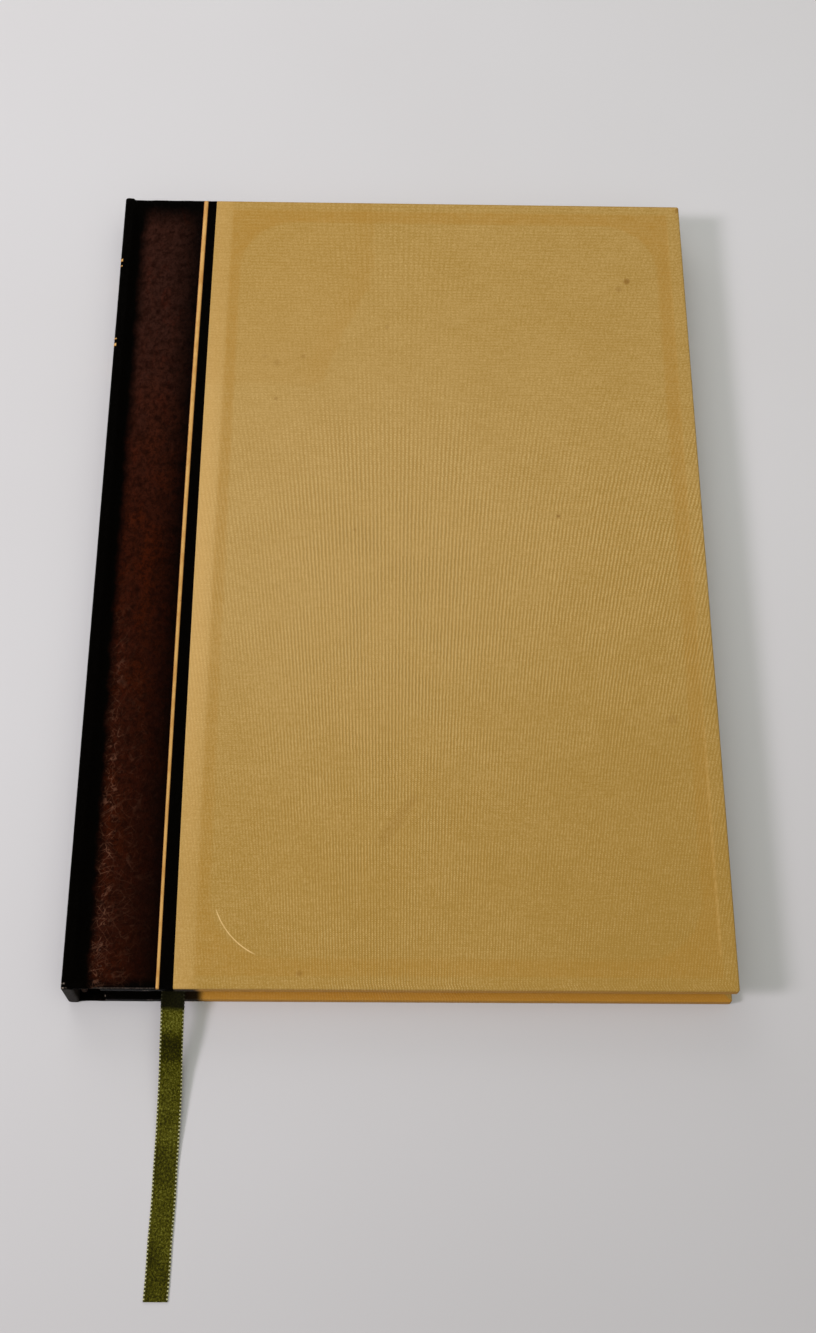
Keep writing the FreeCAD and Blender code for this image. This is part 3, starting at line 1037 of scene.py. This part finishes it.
# ---------------------------------------------------------------------------------- book cloth
# Tan book cloth over the boards, woven with fine upright ribs, turned in at head, tail and
# fore edge and mitred at the corners.  A plain frame with rounded inner corners is just visible.

cloth_low, cloth_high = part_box("front_cloth")
cloth_thickness = 0.38 * MM
corner_radius = 0.6 * MM
cloth_edge_round = 0.45 * MM
cloth_field_margin = 1.5 * MM
cloth_step = 2.2 * MM
inner_frame = {"middle": 13.3, "half_width": 60.0, "half_height": 109.5, "corner": 16.0}
outer_frame = {"middle": 13.7, "half_width": 63.5, "half_height": 113.8}
# Small spots on the front: across, height, reach and strength.
cloth_spots = ((64.5, 90.0, 1.25, 0.60), (61.8, 87.3, 1.2, 0.28), (42.0, 12.5, 0.7, 0.60),
               (-27.8, 63.0, 1.3, 0.30), (-35.1, 60.9, 1.7, 0.20), (-38.6, 62.8, 1.2, 0.14),
               (-4.4, 73.2, 0.9, 0.22), (-35.0, 48.9, 0.7, 0.35), (-12.6, 7.8, 0.8, 0.34),
               (-24.4, -113.2, 1.3, 0.38), (69.0, -46.4, 1.8, 0.16), (80.8, 115.0, 1.6, 0.50))
cloth_tan = (196, 163, 102)
cloth_shade = (156, 121, 53)
cloth_painted_light = (190, 157, 104)
cloth_ochre = (164, 118, 40)
cloth_painted_highlight = (214, 171, 106)
cloth_spot = (120, 78, 18)
cloth_rubbed_and_lit = (232, 190, 120)
cloth_pressed_and_lit = (226, 190, 128)
cloth_tail_painted_shade = (176, 118, 30)
leather_and_painted_shadow = (8, 5, 3)


def cloth_weave(finish, place):
    """Fine cotton cloth whose threads run together in upright ribs, fanning out to the head.

    There are about 1.4 ribs a millimetre at the tail and 0.6 at the head, crossed by level
    threads; the ribs are plainest in the middle and are lost in the level threads at the head.
    """
    across, height = place.axis("X"), place.axis("Y")
    wobble = place.mottle(0.45, detail=2) * 0.5
    ribs = ((across + 2.0) * (height * -0.0036 + 1.018) + wobble).wave(1.0)
    picks = (height * (height * -0.003 + 1.52) + wobble).wave(1.0)
    plain = place.mottle(0.10, detail=4).rise(0.36, 0.62, 0.55, 1.15)
    plain = plain * height.rise(2.0, 64.0, 1.0, 0.12) * height.rise(-80.0, -5.0, 0.5, 1.0)
    plain = plain * across.rise(0.0, 34.0, 1.0, 0.54) * across.rise(-50.0, -4.0, 0.42, 1.5)
    crossed = ribs * picks * 0.9 + ribs
    weave = crossed * plain + picks * height.rise(-15.0, 40.0, 0.11, 0.17)
    upright = place.mottle(1.0, (1.5, 0.35, 1), detail=3, roughness=0.7)
    slubs = place.mottle(1.0, (0.16, 1.6, 1), detail=3, roughness=0.6)
    speckle = place.mottle(1.9, detail=2, roughness=0.8)
    clouds = place.mottle(0.06, detail=4, roughness=0.65)
    tone = weave * -0.43 + 0.09
    tone = tone + upright.rise(0.34, 0.66, 0.0, 0.14) + slubs.rise(0.36, 0.66, 0.0, 0.13)
    tone = tone + speckle.rise(0.28, 0.72, 0.0, 0.46) + clouds.rise(0.35, 0.68, 0.0, 0.08)
    # Painted shade: the cloth is darker towards the tail, a little darker towards the head, and
    # darker again towards the fore-edge corner at the tail, where the light falls off.
    tone = tone + height.fall(-114.0, 20.0, 0.24) + height.rise(-60.0, 90.0, 0.05, 0.15)
    tone = tone + height.fall(-70.0, 50.0, 0.12) * across.rise(0.0, 70.0)
    # Painted light makes the cloth paler towards the middle of its left half, where the light is
    # strongest.
    colour = finish.coats(cloth_tan, (tone.rise(-0.2, 1.15), cloth_shade),
                          (place.distance(-24, 12).fall(15.0, 100.0, 0.22), cloth_painted_light))
    relief = speckle.relief(0.04, upright.relief(0.03, weave.relief(0.03)))
    return colour, relief


def cloth_frame(finish, place, wander, colour):
    """The just visible frame round the side, and painted highlight on the strip by the leather."""
    across, height = place.axis("X"), place.axis("Y")
    radius = inner_frame["corner"]
    dx = abs(across - inner_frame["middle"]) - (inner_frame["half_width"] - radius)
    dy = abs(height) - (inner_frame["half_height"] - radius)
    out_x, out_y = dx.sum("MAXIMUM", 0.0), dy.sum("MAXIMUM", 0.0)
    to_corner = (out_x * out_x + out_y * out_y).sum("SQRT")
    past_inner = to_corner + dx.sum("MAXIMUM", dy).sum("MINIMUM", 0.0) - radius
    frame_x = abs(across - outer_frame["middle"]) - outer_frame["half_width"]
    past_outer = frame_x.sum("MAXIMUM", abs(height) - outer_frame["half_height"])
    band = (wander * 0.4 + past_inner).rise(-0.7, 0.8) * past_outer.fall(-0.5, 0.6)
    dirt = place.mottle(0.35, detail=5, roughness=0.7).rise(0.35, 0.7, 0.24, 0.40)
    dirt = dirt * height.rise(-60.0, 110.0, 0.8, 1.2)
    # Painted highlight on the cloth's raised edge beside the leather, where it catches the light.
    beside = across.rise(-54.0, -50.2, 1.0, 0.62) * across.fall(-50.9, -48.7)
    beside = beside * abs(height).rise(20.0, 100.0, 0.46, 0.26)
    return finish.coats(colour, (band * dirt, cloth_ochre), (beside, cloth_painted_highlight))


def cloth_marks(finish, place, wander, colour):
    """What the front shows: a line and an arc on the frame's pressed edges, rubbed and lit with
    painted highlight, an old stain and small spots.

    The line is at the frame's fore edge side, the pressed arc near the tail by the spine, the
    stain by the head, and a slanting smudge below the middle.
    """
    across, height = place.axis("X"), place.axis("Y")
    # The line along the frame's fore edge side is partly rubbed and partly a painted highlight on
    # the pressed edge.
    rubbed_and_lit = abs(across - 77.0).fall(0.1, 0.55) * height.rise(-62.0, -40.0, 0.17, 0.06)
    rubbed_and_lit = rubbed_and_lit * abs(height).fall(107.0, 109.0)
    rubbed_and_lit = rubbed_and_lit * place.mottle(0.6, detail=3).rise(0.34, 0.6, 0.35, 1.0)
    # The arc at the frame's corner by the spine is a pressed line with a painted highlight on it.
    pressed_and_lit = abs(place.distance(-27.1, -91.3) - 19.1).fall(0.05, 0.22, 0.8)
    pressed_and_lit = pressed_and_lit * wander.rise(-0.3, 0.2, 0.55, 1.0) * height.rise(-96.5, -98.5)
    pressed_and_lit = pressed_and_lit * across.rise(-45.6, -44.6) * across.fall(-37.0, -34.4)
    within = wander * 3.5 + height.rise(95.0, 54.0, -8.0, -21.0) - across
    stain = within.rise(-0.5, 1.5) * within.rise(3.0, 9.0, 1.0, 0.55)
    stain = stain * (wander * 2.0 + height).rise(52.5, 55.5) * 0.19
    spots = [(place.distance(x, y) + wander * (0.9 * reach)).fall(0.25 * reach, reach, share)
             for x, y, reach, share in cloth_spots]
    slant = across * -0.83 + height * 0.56 + 40.7
    smudge = abs(slant + wander * 1.2).fall(0.3, 2.2, 0.13)
    smudge = smudge * place.distance(-0.8, -73.8).fall(6.0, 9.5)
    return finish.coats(
        colour, (rubbed_and_lit, cloth_rubbed_and_lit), (pressed_and_lit, cloth_pressed_and_lit), (stain, cloth_ochre),
        *((spot, cloth_spot) for spot in (*spots, smudge)))


def cloth_finish():
    """The woven cloth with its frame, its marks on the front only, and its turned edges.

    At head and tail the cloth is cut away where it is turned in over the leather, which shows dark
    there; at the tail that dark is also a painted shadow of the ribbon, and the tail's turned
    edges get painted shade.  On the flat, X and Y are the places on the side itself, and go on
    over its edges.
    """
    finish = Finish("book_cloth", 0.9, 0.08, **{"Sheen Weight": 0.03, "Sheen Roughness": 0.5})
    place = finish.on_flat()
    wander = place.mottle(0.2, detail=3) * 1.6 - 0.8
    woven, relief = cloth_weave(finish, place)
    unmarked = cloth_frame(finish, place, wander, woven)
    marked = cloth_marks(finish, place, wander, unmarked)
    on_front = finish.in_solid().axis("Z").rise(5.0, 7.0)
    across, height = place.axis("X"), place.axis("Y")
    over_leather_and_shadow = abs(height).rise(117.1, 117.4) * across.fall(-50.2, -47.9, 0.97)
    # Painted shade on the tail's turned edges, and dark where the leather shows at head and tail,
    # which at the tail is also a painted shadow of the ribbon.
    colour = finish.coats(unmarked, (on_front, marked),
                          (height.rise(-116.9, -117.6, 0.0, 0.62), cloth_tail_painted_shade),
                          (over_leather_and_shadow, leather_and_painted_shadow))
    return finish.done(colour, relief)


def cloth_courses():
    """The cloth's way round the board's edge and under it: inset and height, outer and inner."""
    top, bottom = cloth_high.z, cloth_low.z
    r, t = cloth_edge_round, cloth_thickness
    quarter = [(r * (1 - sine), r * (1 - cosine)) for sine, cosine in quarter_round(4)]
    courses = [(inset, top - down, max(t, inset), top - max(t, down)) for inset, down in quarter]
    for share in (0.33, 0.67):
        z = between(top - r, bottom + r, share)
        courses.append((0.0, z, t, z))
    courses += [(inset, bottom + up, max(t, inset), bottom + max(t, up)) for up, inset in quarter]
    courses += [(inset * MM, bottom, inset * MM, bottom + t) for inset in (2, 4, 7, 11, 15)]
    return courses


def cloth_side(name, way):
    """The cloth of one side, from the leather to its turned-in edges."""
    left, right, end, top = cloth_low.x, cloth_high.x, cloth_high.y, cloth_high.z
    field_right, field_end = right - cloth_field_margin, end - cloth_field_margin
    xs = spaced(left, field_right, cloth_step, left + 0.4 * MM, left + 0.8 * MM)
    ys = spaced(-field_end, field_end, cloth_step)
    columns, rows = len(ys), len(xs)
    outside, inside, flat = [], [], []
    for x in xs:
        for y in ys:
            swell = raised = 0.0
            if way > 0:
                swell = 0.05 * MM * noise.noise(Vector((x * 30, y * 30, 2.0)))
                raised = 0.10 * MM * step_up(-x, -(left + 1.2 * MM), 1.0 * MM)
            edge = min(step_up(field_right - x, 0, 5 * MM),
                       step_up(field_end - abs(y), 0, 5 * MM))
            z = top + max(-0.03 * MM, swell) * edge + raised
            outside.append(Vector((x, y, mirrored(z, way))))
            inside.append(Vector((x, y, mirrored(top - cloth_thickness, way))))
            flat.append((x, y))

    # Round the field from the tail's left end to the head's: the field's own point, the share of
    # the way along the side's two axes, and the way outward.
    corner = quarter_round(4)[1:-1]
    tail_edge = [(i * columns, (xs[i] - left) / (xs[-1] - left)) for i in range(rows)]
    rim = [(point, share, -1, 0, -1) for point, share in tail_edge]
    rim += [((rows - 1) * columns, 1, -1, sine, -cosine) for sine, cosine in corner]
    rim += [((rows - 1) * columns + j, 1, ys[j] / ys[-1], 1, 0) for j in range(columns)]
    rim += [(rows * columns - 1, 1, 1, cosine, sine) for sine, cosine in corner]
    rim += [(point + columns - 1, share, 1, 0, 1) for point, share in reversed(tail_edge)]

    def course_points(inset, z):
        """The points of one course round the edge of the side."""
        turn = max(corner_radius, inset)
        return [Vector((between(left, right - turn, share_x) + dx * (turn - inset),
                        (end - turn) * share_y + dy * (turn - inset), mirrored(z, way)))
                for _, share_x, share_y, dx, dy in rim]

    faces = grid_faces(rows, columns)
    last = [point for point, *rest in rim]
    gone = 0.0
    before = (cloth_field_margin, top)
    for inset, z, inner_inset, inner_z in cloth_courses():
        gone += math.hypot(inset - before[0], z - before[1])
        before = (inset, z)
        first = len(outside)
        outside += course_points(inset, z)
        inside += course_points(inner_inset, inner_z)
        flat += [(flat[point][0] + dx * gone, flat[point][1] + dy * gone)
                 for point, _, _, dx, dy in rim]
        new = list(range(first, len(outside)))
        for a, b, c, d in zip(last, last[1:], new[1:], new):
            faces.append([a, c, d] if a == b else [a, b, c, d])
        last = new
    for point in outside + inside:
        point.x += laid_askew(point.x, point.y)
    return sheet_piece(name, book_cloth, outside, inside, faces, flat, sharp=55)


book_cloth = cloth_finish()
for side, way, cover in both_sides:
    cloth = cloth_side(side + "_book_cloth", way)
    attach(cloth, side + "_cover")
    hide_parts(side + "_cloth")


# ----------------------------------------------------------------------- table, lamps and camera
# The journal lies on a plain pale table between pale walls, under a room that is brightest high
# above its tail.  One soft lamp stands to the left and a fainter one hangs beyond the head.
# The journal is seen from above its tail.

table_grey = (206, 204, 205)
table_cloud = (202, 199, 199)
table_painted_shade = (178, 175, 175)
table_reach = 1.6
table_level = -0.02 * MM
room_tint = (0.968, 1.0, 0.948, 1.0)
room_level, room_above = 0.072, 0.558
bright_part = Vector((0.05, -0.42, 0.90)).normalized()
bright_part_narrowness, bright_part_strength = 7.0, 1.42
seen_wall = 0.62
camera_yaw, camera_elevation, camera_roll = (math.radians(a) for a in (2.532, 65.41, 2.795))
camera_place = Vector((-6.86, -222.28, 428.31)) * MM


def table_top():
    """A plain pale table top with painted shade, greyer towards the near right corner."""
    finish = Finish("pale_table", 0.7, 0.1)
    place = finish.in_solid()
    nearer = place.axis("X") * 0.45 - place.axis("Y")
    # Painted shade darkens the table towards the near right corner, where the light falls off.
    colour = finish.coats(table_grey, (place.mottle(0.01, detail=2), table_cloud),
                          (nearer.rise(-20.0, 280.0, 0.0, 0.7), table_painted_shade))
    mesh = bpy.data.meshes.new("table_top")
    corners = [(x * table_reach, y * table_reach, table_level)
               for x, y in ((-1, -1), (1, -1), (1, 1), (-1, 1))]
    mesh.from_pydata(corners, [], [(0, 1, 2, 3)])
    mesh.materials.append(finish.done(colour))
    table = bpy.data.objects.new("table_top", mesh)
    bpy.context.scene.collection.objects.link(table)
    return table


def lamp(name, place, towards, size, power, tint=(1.0, 1.0, 1.0)):
    """A square soft lamp."""
    light = bpy.data.lights.new(name, "AREA")
    light.shape = "SQUARE"
    light.size = size
    light.energy = power
    light.color = tint
    hung = bpy.data.objects.new(name, light)
    hung.location = place
    hung.rotation_euler = (Vector(towards) - Vector(place)).to_track_quat("-Z", "Y").to_euler()
    bpy.context.scene.collection.objects.link(hung)


def pale_room():
    """The room round the table: dim at its level, brighter above, brightest over the tail."""
    room = bpy.data.worlds.new("pale_room")
    room.use_nodes = True
    steps = Steps(room.node_tree)
    way_out = steps.step("TexCoord", {})
    brightness = way_out.axis("Z").sum("POWER", 2.0) * room_above + room_level
    facing = steps.step("VectorMath", {0: way_out, 1: bright_part}, output=1,
                        operation="DOT_PRODUCT")
    facing = facing.sum("MAXIMUM", 0.0).sum("POWER", bright_part_narrowness)
    brightness = facing * bright_part_strength + brightness
    seen = steps.step("LightPath", {}) * seen_wall
    background = room.node_tree.nodes["Background"]
    background.inputs["Color"].default_value = room_tint
    room.node_tree.links.new(seen.sum("MAXIMUM", brightness).socket,
                             background.inputs["Strength"])
    return room


def camera_above_tail():
    """The camera over the tail, a little turned and leaning, looking down at the journal."""
    looking = Vector((math.sin(camera_yaw) * math.cos(camera_elevation),
                      math.cos(camera_yaw) * math.cos(camera_elevation),
                      -math.sin(camera_elevation)))
    level_right = Vector((math.cos(camera_yaw), -math.sin(camera_yaw), 0))
    level_up = level_right.cross(looking)
    right_way = level_right * math.cos(camera_roll) + level_up * math.sin(camera_roll)
    up_way = level_up * math.cos(camera_roll) - level_right * math.sin(camera_roll)
    lens = bpy.data.cameras.new("camera")
    lens.sensor_width = 36.0
    lens.lens = 47.83
    lens.clip_start = 0.01
    camera = bpy.data.objects.new("camera", lens)
    turned = Matrix((right_way, up_way, -looking)).transposed().to_4x4()
    camera.matrix_world = Matrix.Translation(camera_place) @ turned
    bpy.context.scene.collection.objects.link(camera)
    return camera


table = table_top()
lamp("window_lamp", (-0.98, -0.36, 0.87), (0.1, 0.8, 0), 0.28, 10.9, (0.963, 0.904, 1.0))
lamp("ceiling_lamp", (-0.35, 0.80, 0.60), (-0.1, 0.25, 0), 0.7, 2.6)
bpy.context.scene.world = pale_room()
bpy.context.scene.camera = camera_above_tail()
bpy.context.scene.view_settings.view_transform = "Standard"
